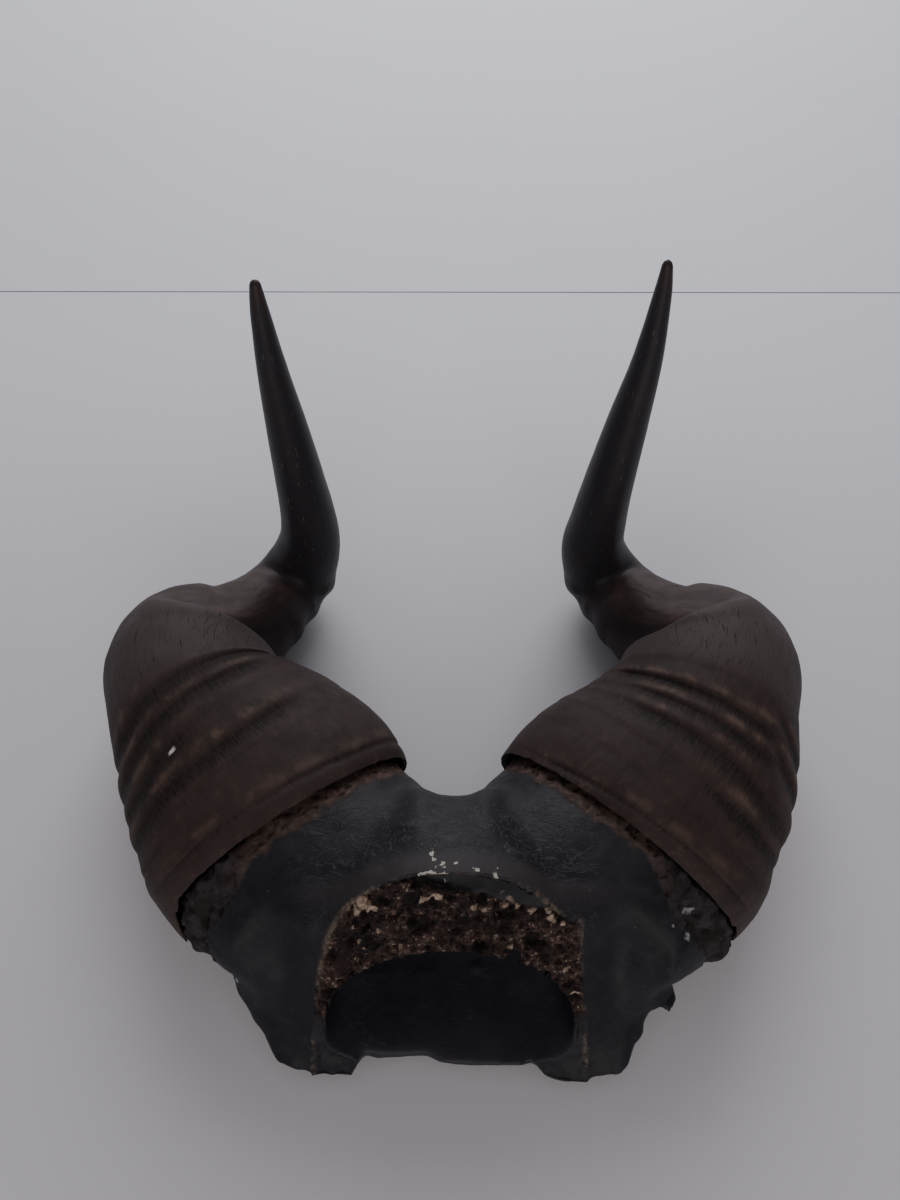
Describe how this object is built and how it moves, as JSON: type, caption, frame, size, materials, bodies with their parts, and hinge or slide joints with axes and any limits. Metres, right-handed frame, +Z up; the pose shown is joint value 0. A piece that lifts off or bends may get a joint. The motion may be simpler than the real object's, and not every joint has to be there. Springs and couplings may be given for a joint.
{
  "type": "antelope horns on a skull cap",
  "caption": "Ringed, hooked antelope horns with bent upright tips, on a sawn black-painted skull cap that lies face down.",
  "frame": {"origin": "on the ground below the middle of the object's bounding box, as it lies on its forehead", "axes": "+X across the spread of the horns, +Y from the sawn face towards the horn tips, +Z up along the upright tips"},
  "size_m": [0.3341, 0.2862, 0.1994],
  "materials": {
    "painted_bone": "black paint over bone, worn to raw bone on the cut",
    "horn": "dark brown keratin, satin, nearly black and glossier at the tips"
  },
  "bodies": {
    "root": {"skull_cap": "painted_bone", "horn_sheath_left": "horn", "horn_sheath_right": "horn"}
  },
  "joints": []
}
